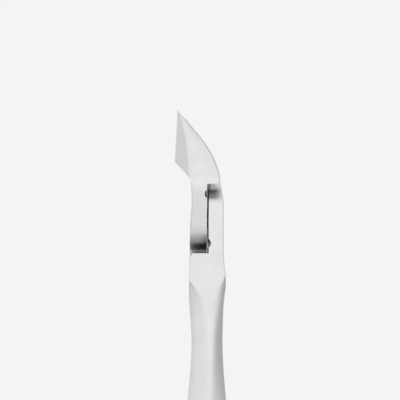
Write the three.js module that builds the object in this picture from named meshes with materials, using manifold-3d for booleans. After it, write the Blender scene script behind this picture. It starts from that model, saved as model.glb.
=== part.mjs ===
// Cuticle nipper with a lap joint and two interlocking leaf springs.
// Millimetres, +Z up. Y is the pivot axis and the cutting edges face -Y. The jaws point up.
// The origin lies on the pivot axis, in the flush back end of the pivot screw.
//
// Both levers share one form. It is laid out closed, in the lever's own plane, as a stack of
// level sections: s runs across the nipper, positive towards the lever's jaw and negative
// towards its handle. The front lever has s = x and the back lever has s = -x. Each lever is
// then turned about Y to the open position in which the springs hold it.
import * as THREE from "three";
import { mergeVertices } from "three/addons/utils/BufferGeometryUtils.js";
import Module from "manifold-3d";

const wasm = await Module();
wasm.setup();

// Driving sizes.
const halfOpening = 6.8; // degrees that each lever is turned from closed at rest
const jointDepth = 5.8; // front to back over both laps at the pivot
const jointRadius = 5.5; // reach of each lap's end, and half the joint's width
const lapEndPower = 2.5; // outline of a lap's end: 2 would be a circle, and more is squarer
const landMargin = 0.8; // width of the relieved rim around the bearing land
const neckLandWidth = 6.4; // width of the land where it reaches on towards the shoulders
const shoulderHeight = 6.8; // shoulder planes above and below the pivot axis
const jawLength = 12.4; // shoulder to tip
const bladeLength = 9.16; // cutting edge, heel to tip
const heelDrop = 2.3; // height of the slanting heel cut under the cutting edge
const handleLength = 89.2; // shoulder to the handle's end
const handleSpread = 13.8; // widest distance of the handle's centreline from the closed plane
const handleHalfWidth = 2.75; // half the handle's width where it leaves the joint
const springFootDrop = 37; // pivot to the spring rivets
const springTipDrop = 58; // pivot to where the springs cross
const springWidth = 3.6;
const springThickness = 0.55;
const tongueWidth = 1.2;
const screwHeadRadius = 2.7;
const screwShankRadius = 1.75;
const screwThreadRadius = 1.5;
const rivetRadius = 0.8;
const rivetHeadRadius = 1.45;
const rivetDepth = 3.2; // how far each rivet's shank goes into its handle

// Clearances.
const lapGap = 0.3; // between the two lap faces, outside the bearing land
const landGap = 0.05; // between the back lap's bearing land and the front lap
const shoulderGap = 0.3; // between the ends of that land and the front lever's shoulders
const edgeGap = 0.02; // from the closed plane to each cutting edge
const heelGap = 0.35; // from the closed plane to each jaw at its shoulder
const holeGap = 0.05; // around the screw and the rivets
const seatGap = 0.05; // under the screw head
const springSeatGap = 0.3; // between a leaf's foot and its handle
const windowGap = 0.3; // each side of the tongue in the window

// Levels that several outlines share.
const tipZ = shoulderHeight + jawLength;
const heelTopZ = tipZ - bladeLength;
const heelBottomZ = heelTopZ - heelDrop;
const endZ = -shoulderHeight - handleLength;
const lapMiddleY = -0.48 * jointDepth;
const openAngle = THREE.MathUtils.degToRad(halfOpening);

// A smooth curve through the given points that never overshoots them: each stretch is a
// cubic whose end slopes are the harmonic mean of the slopes on either side.
function curveThrough(points) {
  const steps = points.slice(1).map((p, i) => p[0] - points[i][0]);
  const rises = points.slice(1).map((p, i) => (p[1] - points[i][1]) / steps[i]);
  const slopes = points.map((p, i) => {
    if (i === 0) return rises[0];
    if (i === points.length - 1) return rises[i - 1];
    if (rises[i - 1] * rises[i] <= 0) return 0;
    const before = 2 * steps[i] + steps[i - 1];
    const after = steps[i] + 2 * steps[i - 1];
    return (before + after) / (before / rises[i - 1] + after / rises[i]);
  });
  return (at) => {
    const last = points.length - 1;
    if (at <= points[0][0]) return points[0][1];
    if (at >= points[last][0]) return points[last][1];
    const i = points.findIndex((p) => p[0] > at) - 1;
    const t = (at - points[i][0]) / steps[i];
    const u = 1 - t;
    return (
      u * u * (1 + 2 * t) * points[i][1] +
      t * t * (3 - 2 * t) * points[i + 1][1] +
      t * u * steps[i] * (u * slopes[i] - t * slopes[i + 1])
    );
  };
}

// Heights given as a share of the jaw, the joint or the handle.
const inJaw = (share) => shoulderHeight + share * jawLength;
const inJoint = (share) => share * shoulderHeight;
const inHandle = (share) => -shoulderHeight - share * handleLength;
const byHeight = (points) => curveThrough([...points].sort((p, q) => p[0] - q[0]));

// Front and back of the lever, as shares of the joint's depth in front of the origin.
const frontShare = byHeight([
  [inHandle(1), -1.052],
  [inHandle(0.86), -1.14],
  [inHandle(0.71), -1.24],
  [inHandle(0.54), -1.284],
  [inHandle(0.43), -1.26],
  [inHandle(0.35), -1.185],
  [inHandle(0.287), -1.083],
  [inHandle(0.213), -0.991],
  [inHandle(0.171), -0.971],
  [inHandle(0.132), -1.0],
  [inHandle(0.076), -1.052],
  [inJoint(-1), -1.033],
  [inJoint(-0.44), -1.026],
  [inJoint(0), -0.995],
  [inJoint(0.44), -0.967],
  [inJoint(1), -0.988],
  [heelBottomZ, -1.01],
]);
const backShare = byHeight([
  [inHandle(1), -0.05],
  [inHandle(0.86), 0.06],
  [inHandle(0.71), 0.155],
  [inHandle(0.54), 0.207],
  [inHandle(0.43), 0.198],
  [inHandle(0.35), 0.15],
  [inHandle(0.287), 0.064],
  [inHandle(0.213), -0.017],
  [inHandle(0.171), -0.034],
  [inHandle(0.11), -0.007],
  [inHandle(0.083), 0.024],
  [inHandle(0.058), 0.069],
  [inHandle(0.036), 0.043],
  [inJoint(-1), 0],
  [inJoint(0.3), 0],
  [inJoint(0.66), -0.055],
  [inJoint(1), -0.095],
  [inJaw(0.12), -0.131],
  [inJaw(0.25), -0.221],
  [inJaw(0.395), -0.362],
  [inJaw(0.532), -0.543],
  [inJaw(0.645), -0.724],
  [inJaw(0.75), -0.922],
  [inJaw(0.863), -1.121],
  [inJaw(0.944), -1.293],
  [inJaw(1), -1.365],
]);
const edgeHeelY = -1.476 * jointDepth;
const edgeTipY = -1.395 * jointDepth;
const frontY = (z) => frontShare(z) * jointDepth;
const backY = (z) => backShare(z) * jointDepth;

// Foremost line of the lever: its front face, then the heel cut, then the cutting edge.
function edgeY(z) {
  if (z <= heelBottomZ) return frontY(z);
  const heel = THREE.MathUtils.clamp((z - heelBottomZ) / heelDrop, 0, 1);
  const blade = THREE.MathUtils.clamp((z - heelTopZ) / bladeLength, 0, 1);
  const atHeel = THREE.MathUtils.lerp(frontY(heelBottomZ), edgeHeelY, heel);
  return atHeel + blade * (edgeTipY - edgeHeelY);
}

// Crease between the jaw's ground bevel and its outer side.
const ridgeShare = byHeight([
  [inJaw(0), -0.988],
  [inJaw(0.077), -1.017],
  [inJaw(0.207), -1.059],
  [inJaw(0.31), -1.074],
  [inJaw(0.535), -1.121],
  [inJaw(0.758), -1.214],
  [inJaw(0.867), -1.272],
  [inJaw(1), -1.388],
]);
const ridgeS = byHeight([
  [inJaw(0), jointRadius],
  [inJaw(0.077), 0.91 * jointRadius],
  [inJaw(0.207), 0.73 * jointRadius],
  [inJaw(0.31), 0.635 * jointRadius],
  [inJaw(0.535), 0.475 * jointRadius],
  [inJaw(0.758), 0.275 * jointRadius],
  [inJaw(0.867), 0.163 * jointRadius],
  [inJaw(0.944), 0.08 * jointRadius],
  [inJaw(1), 0.03 * jointRadius],
]);

// Outer side of the jaw, and how far its inner side is hollowed behind the edge.
const outerS = byHeight([
  [inJaw(0), jointRadius],
  [inJaw(0.077), 0.96 * jointRadius],
  [inJaw(0.207), 0.83 * jointRadius],
  [inJaw(0.31), 0.74 * jointRadius],
  [inJaw(0.42), 0.65 * jointRadius],
  [inJaw(0.535), 0.545 * jointRadius],
  [inJaw(0.645), 0.43 * jointRadius],
  [inJaw(0.758), 0.31 * jointRadius],
  [inJaw(0.867), 0.185 * jointRadius],
  [inJaw(0.944), 0.095 * jointRadius],
  [inJaw(1), 0.038 * jointRadius],
]);
const outerBackShare = byHeight([
  [inJaw(0), 1],
  [inJaw(0.15), 0.96],
  [inJaw(0.35), 0.92],
  [inJaw(1), 0.88],
]);
const hollow = byHeight([
  [inJaw(0), 0],
  [inJaw(0.1), 0.75],
  [inJaw(0.26), 1.2],
  [inJaw(0.42), 1.15],
  [inJaw(0.58), 0.9],
  [inJaw(0.74), 0.55],
  [inJaw(0.863), 0.3],
  [inJaw(1), 0.03],
]);
const innerS = byHeight([
  [inJaw(0), heelGap],
  [heelBottomZ, heelGap],
  [heelTopZ, edgeGap],
]);
const edgeLand = byHeight([
  [heelTopZ, 0.12],
  [tipZ, 0.06],
]);

// Where the ground bevel starts: at the edge's land, and under the cutting edge's heel as far
// up the bevel's own plane as the heel cut leaves it.
function bevelStartS(z, ridge) {
  const edgeLine = edgeHeelY + ((z - heelTopZ) / bladeLength) * (edgeTipY - edgeHeelY);
  const cutBack = THREE.MathUtils.clamp((edgeY(z) - edgeLine) / (ridge - edgeLine), 0, 0.96);
  return THREE.MathUtils.lerp(innerS(z) + edgeLand(z), ridgeS(z), cutBack);
}

// Handle: its centreline's distance from the closed plane, and its half width.
const handleCentre = byHeight([
  [inHandle(0), 3.0],
  [inHandle(0.058), 3.3],
  [inHandle(0.148), 0.33 * handleSpread],
  [inHandle(0.26), 0.52 * handleSpread],
  [inHandle(0.372), 0.715 * handleSpread],
  [inHandle(0.484), 0.87 * handleSpread],
  [inHandle(0.596), 0.965 * handleSpread],
  [inHandle(0.708), handleSpread],
  [inHandle(0.82), 0.98 * handleSpread],
  [inHandle(0.93), 0.915 * handleSpread],
  [inHandle(1), 0.855 * handleSpread],
]);
const handleWidthShare = byHeight([
  [inHandle(0), 1],
  [inHandle(0.148), 0.91],
  [inHandle(0.26), 0.855],
  [inHandle(0.6), 0.84],
  [inHandle(0.82), 0.8],
  [inHandle(1), 0.74],
]);
const handleWidth = (z) => handleWidthShare(z) * handleHalfWidth;

// The flat on the handle's outer side narrows downwards in a tongue. Its two edges stand in
// from the front and the back by these shares of the depth.
const flatFrontInset = byHeight([
  [inHandle(0.056), 0],
  [inHandle(0.063), 0.09],
  [inHandle(0.0706), 0.165],
  [inHandle(0.0785), 0.225],
  [inHandle(0.0863), 0.285],
  [inHandle(0.1026), 0.37],
  [inHandle(0.1267), 0.44],
  [inHandle(0.16), 0.48],
  [inHandle(0.25), 0.46],
  [inHandle(1), 0.4],
]);
const flatBackInset = byHeight([
  [inHandle(0.043), 0],
  [inHandle(0.055), 0.07],
  [inHandle(0.063), 0.125],
  [inHandle(0.0706), 0.15],
  [inHandle(0.0863), 0.175],
  [inHandle(0.1267), 0.21],
  [inHandle(0.16), 0.24],
  [inHandle(0.2), 0.27],
  [inHandle(0.3), 0.33],
  [inHandle(1), 0.4],
]);
const flankFrontShare = byHeight([
  [inHandle(0.056), 0.09],
  [inHandle(0.0863), 0.27],
  [inHandle(0.1267), 0.42],
  [inHandle(0.18), 0.5],
]);
const flankBackShare = byHeight([
  [inHandle(0.043), 0.09],
  [inHandle(0.0706), 0.2],
  [inHandle(0.1267), 0.36],
  [inHandle(0.18), 0.5],
]);

// How far each corner of the section is rounded back along its sides.
const flatRounding = byHeight([
  [inHandle(0.25), 3.2],
  [inHandle(0.15), 2.6],
  [inHandle(0.1), 1.5],
  [inHandle(0.075), 0.7],
  [inHandle(0.05), 0.3],
]);
const flankRounding = byHeight([
  [inHandle(0.12), 3],
  [inHandle(0.05), 0.2],
]);
const innerRounding = byHeight([
  [inHandle(0.16), 2.6],
  [inHandle(0.06), 1.2],
  [inHandle(0), 0.35],
]);
const jawBackRounding = byHeight([
  [inJaw(0), 0.35],
  [inJaw(0.2), 0.3],
]);
const ridgeRounding = byHeight([
  [inJaw(0), 0.35],
  [inJaw(0.2), 0.12],
]);

// Edges of the joint in front view: straight beside the lever's own jaw or handle, and
// opposite them a lap end whose outline is a little squarer than a circle.
const lapEndS = (z) =>
  jointRadius * (1 - Math.abs(z / jointRadius) ** lapEndPower) ** (1 / lapEndPower);
function jointHighS(z) {
  if (z >= 0) return jointRadius;
  if (z > -jointRadius) return lapEndS(z);
  const inner = handleHalfWidth - handleCentre(-shoulderHeight);
  return (inner * (-jointRadius - z)) / (shoulderHeight - jointRadius);
}
function jointLowS(z) {
  if (z <= 0) {
    const outer = handleCentre(-shoulderHeight) + handleHalfWidth;
    return THREE.MathUtils.lerp(-jointRadius, -outer, -z / shoulderHeight);
  }
  if (z < jointRadius) return -lapEndS(z);
  return (heelGap * (z - jointRadius)) / (shoulderHeight - jointRadius);
}

// The seven corners of the section at height z, anticlockwise from the low front one, each
// as [s, y, rounding].
function sectionCorners(z) {
  const back = backY(z);
  if (z > shoulderHeight) {
    const front = edgeY(z);
    const ridge = ridgeShare(z) * jointDepth;
    const inner = innerS(z);
    const rise = THREE.MathUtils.clamp((z - shoulderHeight) / (0.15 * jawLength), 0, 1);
    return [
      [inner, front, 0.1],
      [bevelStartS(z, ridge), front, 0.1],
      [ridgeS(z), ridge, ridgeRounding(z)],
      [outerS(z), THREE.MathUtils.lerp(ridge, back, 0.45), 2.5],
      [outerS(z) * outerBackShare(z), back, jawBackRounding(z)],
      [inner + hollow(z) + 0.5 * (1 - rise), back, 0.3],
      [inner + 0.75 * hollow(z), THREE.MathUtils.lerp(back, front, 0.5 * rise), 0.3 + 2.2 * rise],
    ];
  }
  const front = frontY(z);
  const middle = (front + back) / 2;
  const inJointZone = z > -shoulderHeight;
  const low = inJointZone ? jointLowS(z) : -handleCentre(z) - handleWidth(z);
  const high = inJointZone ? jointHighS(z) : handleWidth(z) - handleCentre(z);
  const depth = back - front;
  const width = high - low;
  const flankFront = inJointZone ? Math.min(0.5, 0.4 * width) : flankFrontShare(z) * width;
  const flankBack = inJointZone ? Math.min(0.5, 0.4 * width) : flankBackShare(z) * width;
  return [
    [low, front + flatFrontInset(z) * depth, flatRounding(z)],
    [low + flankFront, front, flankRounding(z)],
    [high, front, innerRounding(z)],
    [high, middle, 3],
    [high, back, innerRounding(z)],
    [low + flankBack, back, flankRounding(z)],
    [low, back - flatBackInset(z) * depth, flatRounding(z)],
  ];
}

// Rounds a loop of corners: each one becomes a parabola between two points on its sides.
function roundedLoop(corners, steps) {
  const longest = 0.46; // share of a side that one corner's rounding may take
  return corners.flatMap(([s, y, rounding], i) => {
    const [sBefore, yBefore] = corners.at(i - 1);
    const [sAfter, yAfter] = corners[(i + 1) % corners.length];
    const before = Math.hypot(sBefore - s, yBefore - y);
    const after = Math.hypot(sAfter - s, yAfter - y);
    const a = Math.min(rounding, longest * before) / before;
    const b = Math.min(rounding, longest * after) / after;
    return Array.from({ length: steps + 1 }, (_, k) => {
      const t = k / steps;
      const u = 1 - t;
      return [
        s + u * u * a * (sBefore - s) + t * t * b * (sAfter - s),
        y + u * u * a * (yBefore - y) + t * t * b * (yAfter - y),
      ];
    });
  });
}

// Points spaced evenly from one level to another, without the last one.
const evenly = (from, to, count) =>
  Array.from({ length: count }, (_, i) => THREE.MathUtils.lerp(from, to, i / count));

// Levels of the sections, from the handle's end to the tip.
const endRounding = 3.2;
const endLevels = [0.03, 0.12, 0.3, 0.6].map((share) => endZ + share * endRounding);
const quarter = [88, 82, 74, 64, 53, 40, 24, 8].map((angle) => Math.sin((angle * Math.PI) / 180));
const levels = [
  ...endLevels,
  ...evenly(endZ + endRounding, inHandle(0.18), 26),
  ...evenly(inHandle(0.18), inHandle(0.04), 16),
  ...evenly(inHandle(0.04), -shoulderHeight, 3),
  -shoulderHeight,
  -jointRadius,
  ...quarter.map((share) => -share * jointRadius),
  0,
  ...quarter.map((share) => share * jointRadius).reverse(),
  jointRadius,
  shoulderHeight,
  ...evenly(shoulderHeight, heelBottomZ, 2).slice(1),
  ...evenly(heelBottomZ, heelTopZ, 4),
  ...evenly(heelTopZ, tipZ, 16),
  tipZ,
];

// Joins a stack of loops, each a list of [x, y, z], into one closed body.
function stackOfLoops(loops) {
  const around = loops[0].length;
  const positions = loops.flat(2);
  const indices = [];
  for (let row = 0; row + 1 < loops.length; row += 1) {
    for (let i = 0; i < around; i += 1) {
      const a = row * around + i;
      const b = row * around + ((i + 1) % around);
      indices.push(a, b, b + around, a, b + around, a + around);
    }
  }
  const capShape = (loop) => THREE.ShapeUtils.triangulateShape(loop, []);
  const top = (loops.length - 1) * around;
  const flat = (loop) => loop.map(([x, y]) => new THREE.Vector2(x, y));
  for (const [a, b, c] of capShape(flat(loops[0]))) indices.push(a, c, b);
  for (const [a, b, c] of capShape(flat(loops.at(-1)))) indices.push(top + a, top + b, top + c);
  const geometry = new THREE.BufferGeometry();
  geometry.setAttribute("position", new THREE.Float32BufferAttribute(positions, 3));
  geometry.setIndex(indices);
  return geometry;
}

// A solid for joining and cutting, made from a closed geometry.
function toSolid(geometry) {
  const bare = geometry.clone();
  bare.deleteAttribute("normal");
  bare.deleteAttribute("uv");
  const merged = mergeVertices(bare, 1e-5);
  const index = merged.index.array;
  const kept = [];
  for (let i = 0; i < index.length; i += 3) {
    const [a, b, c] = index.slice(i, i + 3);
    if (a !== b && b !== c && c !== a) kept.push(a, b, c);
  }
  const vertProperties = merged.getAttribute("position").array;
  const triVerts = new Uint32Array(kept);
  return new wasm.Manifold(new wasm.Mesh({ numProp: 3, vertProperties, triVerts }));
}

function toGeometry(solid) {
  const mesh = solid.getMesh();
  const geometry = new THREE.BufferGeometry();
  geometry.setAttribute("position", new THREE.BufferAttribute(mesh.vertProperties, 3));
  geometry.setIndex(new THREE.BufferAttribute(mesh.triVerts, 1));
  geometry.computeVertexNormals();
  return geometry;
}

const roundSides = 48;
const reach = 40; // length that runs past every side of a lever

// A cylinder along Y between two depths, and a cylinder along X through a handle.
function boreAlongY(radius, fromY, toY) {
  const bore = new THREE.CylinderGeometry(radius, radius, toY - fromY, roundSides);
  return toSolid(bore.translate(0, (fromY + toY) / 2, 0));
}
function boreAlongX(radius, centreX, y, z, length) {
  const bore = new THREE.CylinderGeometry(radius, radius, length, 24);
  return toSolid(bore.rotateZ(Math.PI / 2).translate(centreX, y, z));
}

// Relief groove cut into a lap face from both of its sides. It stops at the land's width.
const grooveHeight = 0.735 * shoulderHeight;
const grooveRadius = 0.95;
const grooveDepth = 0.4;
function reliefGroove(towards, faceY) {
  const y = faceY + towards * (grooveRadius - grooveDepth);
  const length = reach / 2;
  const [left, right] = [-1, 1].map((way) => {
    const centreX = (way * (neckLandWidth + length)) / 2;
    return boreAlongX(grooveRadius, centreX, y, towards * grooveHeight, length);
  });
  return left.add(right);
}

// What is cut away to leave one lap: a bar along X between the shoulder planes, and the
// relief groove.
function lapCutter(isFront) {
  const towards = isFront ? 1 : -1; // the side of the lap face that is cut away
  const faceY = lapMiddleY - (towards * lapGap) / 2;
  const farY = towards * 20;
  const outline = new THREE.Shape();
  if (isFront) {
    const chamfer = 0.6;
    const back = backY(shoulderHeight);
    outline.moveTo(faceY, -shoulderHeight);
    outline.lineTo(farY, -shoulderHeight);
    outline.lineTo(farY, shoulderHeight + chamfer * 3);
    outline.lineTo(back + chamfer * 2, shoulderHeight + chamfer * 3);
    outline.lineTo(back - chamfer, shoulderHeight);
    outline.lineTo(faceY, shoulderHeight);
  } else {
    const chamfer = 0.5;
    const front = frontY(-shoulderHeight);
    outline.moveTo(faceY, shoulderHeight);
    outline.lineTo(farY, shoulderHeight);
    outline.lineTo(farY, -shoulderHeight - chamfer * 4.4);
    outline.lineTo(front - chamfer, -shoulderHeight - chamfer * 4.4);
    outline.lineTo(front + chamfer, -shoulderHeight);
    outline.lineTo(faceY, -shoulderHeight);
  }
  const bar = new THREE.ExtrudeGeometry(outline, { depth: reach, bevelEnabled: false });
  const axes = new THREE.Matrix4().makeBasis(
    new THREE.Vector3(0, 1, 0),
    new THREE.Vector3(0, 0, 1),
    new THREE.Vector3(1, 0, 0),
  );
  const placed = toSolid(bar.applyMatrix4(axes).translate(-reach / 2, 0, 0));
  return placed.add(reliefGroove(towards, faceY));
}

// The land that the back lever keeps on its lap face: a disc, and on across its neck and its
// handle a tongue that ends in an arc short of the front lever's shoulder.
function bearingLand() {
  const landY = lapMiddleY - lapGap / 2 + landGap;
  const disc = boreAlongY(jointRadius - landMargin, landY, 0);
  const reaching = boreAlongY(shoulderHeight - shoulderGap, landY, 0);
  const tongues = new THREE.BoxGeometry(neckLandWidth, 2 * jointDepth, 2 * shoulderHeight);
  return disc.add(reaching.intersect(toSolid(tongues)));
}

// The whole lever before its lap is cut.
function leverBlank(side) {
  const loops = levels.map((z) => {
    const loop = roundedLoop(sectionCorners(z), 2);
    const fromEnd = Math.min(1, (z - endZ) / endRounding);
    const shrink = Math.sqrt(1 - (1 - fromEnd) ** 2);
    const centreS = -handleCentre(z);
    const centreY = (frontY(z) + backY(z)) / 2;
    return loop.map(([s, y]) => {
      const inEnd = z < endZ + endRounding;
      const sHere = inEnd ? centreS + shrink * (s - centreS) : s;
      const yHere = inEnd ? centreY + shrink * (y - centreY) : y;
      return [side * sHere, yHere, z];
    });
  });
  return stackOfLoops(side > 0 ? loops : loops.map((loop) => [...loop].reverse()));
}

// Places that the springs, their rivets and the handles share, in the front lever's plane.
const footZ = -springFootDrop;
const footY = (frontY(footZ) + backY(footZ)) / 2;
const footInnerS = handleWidth(footZ) - handleCentre(footZ);

const screwHeadTopY = frontY(0) + 0.12;
const screwHeadDepth = 1.05;
function lever(isFront) {
  const side = isFront ? 1 : -1;
  const boreLength = 2 * (rivetDepth + holeGap);
  const rivetBore = boreAlongX(rivetRadius + holeGap, side * footInnerS, footY, footZ, boreLength);
  const blank = toSolid(leverBlank(side)).subtract(rivetBore);
  if (!isFront) {
    const thread = boreAlongY(screwThreadRadius + holeGap, -jointDepth, jointDepth);
    return blank.subtract(lapCutter(isFront).subtract(bearingLand())).subtract(thread);
  }
  const seatY = screwHeadTopY + screwHeadDepth + seatGap;
  return blank
    .subtract(lapCutter(isFront))
    .subtract(boreAlongY(screwShankRadius + holeGap, -2 * jointDepth, jointDepth))
    .subtract(boreAlongY(screwHeadRadius + holeGap, -2 * jointDepth, seatY));
}

// Pivot screw: a slotted cheese head in the front lap, a plain shank through it, and a
// thinner threaded end in the back lap.
function pivotScrew() {
  const shankEndY = lapMiddleY - lapGap / 2 + landGap / 2;
  const edge = 0.15;
  const profile = [
    [0, screwHeadTopY],
    [screwHeadRadius - edge, screwHeadTopY],
    [screwHeadRadius, screwHeadTopY + edge],
    [screwHeadRadius, screwHeadTopY + screwHeadDepth],
    [screwShankRadius, screwHeadTopY + screwHeadDepth],
    [screwShankRadius, shankEndY],
    [screwThreadRadius, shankEndY],
    [screwThreadRadius, 0],
    [0, 0],
  ];
  const turned = new THREE.LatheGeometry(
    profile.map(([r, y]) => new THREE.Vector2(r, y)),
    roundSides,
  );
  const slotWidth = 0.7;
  const slotDepth = 0.5;
  const slot = new THREE.BoxGeometry(3 * screwHeadRadius, 2 * slotDepth, slotWidth);
  return toSolid(turned).subtract(toSolid(slot.translate(0, screwHeadTopY, 0)));
}

// Leaf springs. In the lever's plane the foot lies along the handle's inner side and the
// blade bows in to the closed plane, where the two leaves cross.
const footSlope = (handleCentre(footZ - 2) - handleCentre(footZ + 2)) / 4;
const footDirection = new THREE.Vector2(-footSlope, -1).normalize();
const footNormal = new THREE.Vector2(-footDirection.y, footDirection.x);
const footHalfLength = 3;
const footCentre = new THREE.Vector2(footInnerS, footZ).addScaledVector(
  footNormal,
  springSeatGap + springThickness / 2,
);
const crossing = new THREE.Vector2(0, -springTipDrop).rotateAround(new THREE.Vector2(), openAngle);
const bladeStart = footCentre.clone().addScaledVector(footDirection, footHalfLength);
const crossingDirection = new THREE.Vector2(0.72, -0.69)
  .normalize()
  .rotateAround(new THREE.Vector2(), openAngle);
const bladeReach = bladeStart.distanceTo(crossing);
const bladeCurve = new THREE.CubicBezierCurve(
  bladeStart,
  bladeStart.clone().addScaledVector(footDirection, 0.36 * bladeReach),
  crossing.clone().addScaledVector(crossingDirection, -0.42 * bladeReach),
  crossing,
);

// Stations of a leaf from the top of its foot to its free end, as [point, direction].
const bladeSteps = 22;
const tailLength = 3.2;
function leafStations() {
  const foot = [-1, 0, 1].map((share) => [
    footCentre.clone().addScaledVector(footDirection, share * footHalfLength),
    footDirection,
  ]);
  const blade = Array.from({ length: bladeSteps }, (_, i) => {
    const t = (i + 1) / bladeSteps;
    return [bladeCurve.getPointAt(t), bladeCurve.getTangentAt(t)];
  });
  const tail = [0.4, 0.8, 1].map((share) => [
    crossing.clone().addScaledVector(crossingDirection, share * tailLength),
    crossingDirection,
  ]);
  return [...foot, ...blade, ...tail];
}

// One leaf: a tapering strip of spring steel. The back one ends in a narrow tongue, and the
// front one has a window for it.
const tongueLength = 3.4; // start of the tongue ahead of the crossing
const windowHalfLength = 2;
function leafSpring(isFront) {
  const side = isFront ? 1 : -1;
  const stations = leafStations();
  const lengths = stations.map(([point], i) => (i ? point.distanceTo(stations[i - 1][0]) : 0));
  const along = lengths.map((_, i) => lengths.slice(0, i + 1).reduce((sum, d) => sum + d, 0));
  const total = along.at(-1);
  const toCrossing = total - tailLength;
  const loops = stations.map(([point, direction], i) => {
    const share = along[i] / total;
    const strip = springWidth * (1 - 0.24 * share);
    const isTongue = !isFront && along[i] > toCrossing - tongueLength;
    const halfWidth = (isTongue ? tongueWidth : strip) / 2;
    const halfThick = (springThickness * (1 - 0.25 * share)) / 2;
    const across = new THREE.Vector2(-direction.y, direction.x);
    const corner = (up, out) => {
      const at = point.clone().addScaledVector(across, up * halfThick);
      return [side * at.x, footY + out * halfWidth, at.y];
    };
    const loop = [corner(-1, -1), corner(1, -1), corner(1, 1), corner(-1, 1)];
    return side > 0 ? loop.reverse() : loop;
  });
  const strip = toSolid(capFirst(loops));
  const bored = strip.subtract(boreAlongX(rivetRadius + holeGap, side * footInnerS, footY, footZ, 8));
  if (!isFront) return bored;
  const opening = new THREE.BoxGeometry(2 * windowHalfLength, tongueWidth + 2 * windowGap, 4);
  const turn = Math.atan2(crossingDirection.y, crossingDirection.x);
  const placed = opening.rotateY(-turn).translate(crossing.x, footY, crossing.y);
  return bored.subtract(toSolid(placed));
}

// Closes a strip whose four-cornered ends don't lie level.
function capFirst(loops) {
  const geometry = stackOfLoops(loops);
  const sides = (loops.length - 1) * 4 * 6;
  const top = (loops.length - 1) * 4;
  const index = [...geometry.index.array.slice(0, sides)];
  index.push(0, 2, 1, 0, 3, 2, top, top + 1, top + 2, top, top + 2, top + 3);
  geometry.setIndex(index);
  return geometry;
}

// Rivet: a domed head over the leaf's foot and a plain shank through the handle.
function springRivet(isFront) {
  const side = isFront ? 1 : -1;
  const leafTopS = footInnerS + springSeatGap / Math.cos(Math.atan(footSlope)) + 1.25 * springThickness;
  const headFromS = leafTopS + 0.75;
  const shankEndS = footInnerS - rivetDepth;
  const domeHeight = 0.65;
  const profile = [
    [0, shankEndS],
    [rivetRadius, shankEndS],
    [rivetRadius, headFromS],
    [rivetHeadRadius, headFromS],
    [0.92 * rivetHeadRadius, headFromS + 0.45 * domeHeight],
    [0.6 * rivetHeadRadius, headFromS + 0.85 * domeHeight],
    [0, headFromS + domeHeight],
  ];
  const turned = new THREE.LatheGeometry(
    profile.map(([r, s]) => new THREE.Vector2(r, s)),
    24,
  );
  return toSolid(turned.rotateZ(-side * (Math.PI / 2)).translate(0, footY, footZ));
}

// Finishes.
const finishes = {
  satinSteel: { color: 0xd6d7d8, roughness: 0.34, metalness: 1 },
  springSteel: { color: 0xc4c6c9, roughness: 0.26, metalness: 1 },
  turnedSteel: { color: 0xcccdcf, roughness: 0.3, metalness: 1 },
};

function named(name, solid, finish) {
  const mesh = new THREE.Mesh(toGeometry(solid), new THREE.MeshStandardMaterial(finishes[finish]));
  mesh.name = name;
  return mesh;
}

const backSide = new THREE.Group();
backSide.rotation.y = -openAngle;
backSide.add(named("back_lever", lever(false), "satinSteel"));
backSide.add(named("pivot_screw", pivotScrew(), "turnedSteel"));
backSide.add(named("back_leaf_spring", leafSpring(false), "springSteel"));
backSide.add(named("back_spring_rivet", springRivet(false), "turnedSteel"));

const frontSide = new THREE.Group();
frontSide.rotation.y = openAngle;
frontSide.add(named("front_lever", lever(true), "satinSteel"));
frontSide.add(named("front_leaf_spring", leafSpring(true), "springSteel"));
frontSide.add(named("front_spring_rivet", springRivet(true), "turnedSteel"));

const nipper = new THREE.Group();
nipper.add(backSide, frontSide);

export default nipper;
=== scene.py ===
import math

import bpy
import numpy as np
from bpy.props import FloatProperty, FloatVectorProperty, PointerProperty
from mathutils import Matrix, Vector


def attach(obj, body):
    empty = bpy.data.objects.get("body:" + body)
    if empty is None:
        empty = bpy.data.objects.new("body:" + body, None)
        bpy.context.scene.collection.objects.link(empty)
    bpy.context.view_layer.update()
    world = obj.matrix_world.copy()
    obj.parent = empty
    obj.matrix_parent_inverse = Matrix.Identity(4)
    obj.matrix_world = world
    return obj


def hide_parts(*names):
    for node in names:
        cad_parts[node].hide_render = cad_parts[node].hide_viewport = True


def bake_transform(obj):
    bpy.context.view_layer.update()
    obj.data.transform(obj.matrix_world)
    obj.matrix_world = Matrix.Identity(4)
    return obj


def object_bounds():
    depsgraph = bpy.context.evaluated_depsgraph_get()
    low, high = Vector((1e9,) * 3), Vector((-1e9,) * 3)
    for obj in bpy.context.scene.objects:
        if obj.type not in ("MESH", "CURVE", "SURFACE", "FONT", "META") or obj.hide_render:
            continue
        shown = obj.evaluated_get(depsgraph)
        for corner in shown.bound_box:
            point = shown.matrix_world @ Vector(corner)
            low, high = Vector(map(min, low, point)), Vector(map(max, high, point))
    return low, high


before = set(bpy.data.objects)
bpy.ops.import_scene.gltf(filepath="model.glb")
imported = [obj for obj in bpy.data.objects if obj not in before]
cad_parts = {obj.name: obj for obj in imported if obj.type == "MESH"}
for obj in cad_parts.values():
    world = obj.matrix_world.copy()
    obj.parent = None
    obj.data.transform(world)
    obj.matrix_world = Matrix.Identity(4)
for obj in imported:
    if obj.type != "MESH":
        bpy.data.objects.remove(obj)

bl_info = {
    "name": "Cuticle nipper",
    "version": (1, 0, 0),
    "blender": (4, 5, 0),
    "location": "View3D > Sidebar > Nipper",
    "description": "Makes the finished pieces of a sprung lap-joint cuticle nipper",
    "category": "Add Mesh",
}

CAD_BOX = [list(map(float, corner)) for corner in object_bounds()]
MM = 0.001
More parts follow.
